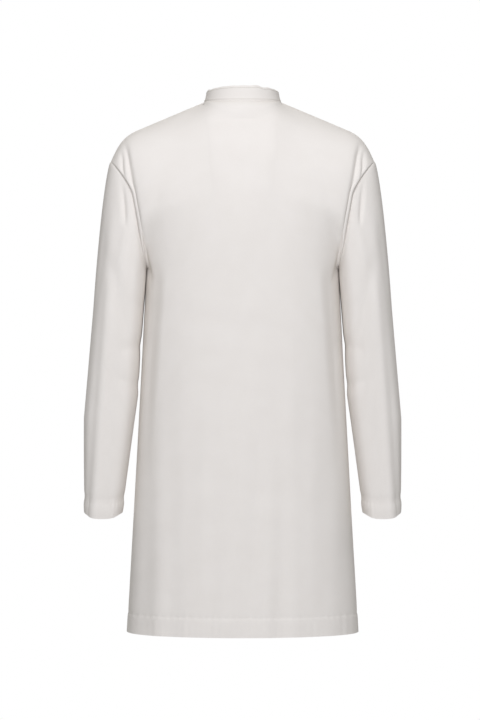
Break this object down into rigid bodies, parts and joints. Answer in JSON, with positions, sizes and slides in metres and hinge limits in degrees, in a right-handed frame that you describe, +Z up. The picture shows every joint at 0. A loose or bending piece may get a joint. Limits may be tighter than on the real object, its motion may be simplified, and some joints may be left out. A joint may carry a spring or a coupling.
{
  "type": "lab coat",
  "caption": "Long-sleeved thigh-length laboratory coat with a low stand collar, dropped shoulders, an opening front with press studs, patch pockets and a hanger loop.",
  "frame": {"origin": "the middle of the neck opening, level with the centre-back neck seam, where a hanger or the wearer's shoulders hold the coat", "axes": "+Z up along the hanging coat, +X to the wearer's left, -Y to the wearer's front; the picture looks along -Y at the back"},
  "size_m": [0.512, 0.2649, 0.88],
  "materials": {
    "coat_cloth": "matt off-white polyester and cotton twill",
    "facing_cloth": "the same cloth, inner plies",
    "woven_tape": "narrow woven tape",
    "blank_label": "satin label with no print",
    "press_stud": "semi-gloss off-white plastic"
  },
  "bodies": {
    "torso": {"back_panel": "coat_cloth", "front_side_left": "coat_cloth", "front_side_right": "coat_cloth", "collar_back_outer": "coat_cloth", "collar_back_inner": "facing_cloth", "back_neck_tape": "woven_tape", "size_label": "blank_label"},
    "front_left": {"front_panel_left": "coat_cloth", "front_facing_left": "facing_cloth", "patch_pocket_left": "coat_cloth", "chest_pocket": "coat_cloth", "collar_left_outer": "coat_cloth", "collar_left_inner": "facing_cloth", "snap_stud_1": "press_stud", "snap_stud_2": "press_stud", "snap_stud_3": "press_stud", "snap_stud_4": "press_stud", "snap_stud_5": "press_stud", "snap_post_1": "press_stud", "snap_post_2": "press_stud", "snap_post_3": "press_stud", "snap_post_4": "press_stud", "snap_post_5": "press_stud"},
    "front_right": {"front_panel_right": "coat_cloth", "front_facing_right": "facing_cloth", "patch_pocket_right": "coat_cloth", "collar_right_outer": "coat_cloth", "collar_right_inner": "facing_cloth", "snap_cap_1": "press_stud", "snap_cap_2": "press_stud", "snap_cap_3": "press_stud", "snap_cap_4": "press_stud", "snap_cap_5": "press_stud", "snap_socket_1": "press_stud", "snap_socket_2": "press_stud", "snap_socket_3": "press_stud", "snap_socket_4": "press_stud", "snap_socket_5": "press_stud"},
    "upper_sleeve_left": {"sleeve_upper_left": "coat_cloth"},
    "lower_sleeve_left": {"sleeve_lower_left": "coat_cloth"},
    "upper_sleeve_right": {"sleeve_upper_right": "coat_cloth"},
    "lower_sleeve_right": {"sleeve_lower_right": "coat_cloth"},
    "loop": {"hanger_loop": "woven_tape"}
  },
  "joints": [
    {"name": "right_front_opens", "type": "hinge", "parent": "torso", "child": "front_right", "pos_m": [-0.064, -0.0125, 0.002], "axis": [-0.117, -0.0724, -0.9905], "range_deg": [0, 32]},
    {"name": "left_front_opens", "type": "hinge", "parent": "torso", "child": "front_left", "pos_m": [0.064, -0.0125, 0.002], "axis": [-0.117, 0.0724, 0.9905], "range_deg": [0, 20]},
    {"name": "left_sleeve_raises", "type": "hinge", "parent": "torso", "child": "upper_sleeve_left", "pos_m": [0.2126, 0, -0.0926], "axis": [0, -1, 0], "range_deg": [0, 50]},
    {"name": "right_sleeve_raises", "type": "hinge", "parent": "torso", "child": "upper_sleeve_right", "pos_m": [-0.2126, 0, -0.0926], "axis": [0, 1, 0], "range_deg": [0, 50]},
    {"name": "left_elbow_bends", "type": "hinge", "parent": "upper_sleeve_left", "child": "lower_sleeve_left", "pos_m": [0.2076, -0.0563, -0.411], "axis": [-1, 0, 0], "range_deg": [0, 100]},
    {"name": "right_elbow_bends", "type": "hinge", "parent": "upper_sleeve_right", "child": "lower_sleeve_right", "pos_m": [-0.2076, -0.0563, -0.411], "axis": [-1, 0, 0], "range_deg": [0, 100]},
    {"name": "hanger_loop_flips", "type": "hinge", "parent": "torso", "child": "loop", "pos_m": [0, 0.0402, -0.004], "axis": [-1, 0, 0], "range_deg": [0, 130]}
  ],
  "couplings": [
    {"joint": "left_front_opens", "follows": "right_front_opens", "ratio": 0.6}
  ]
}
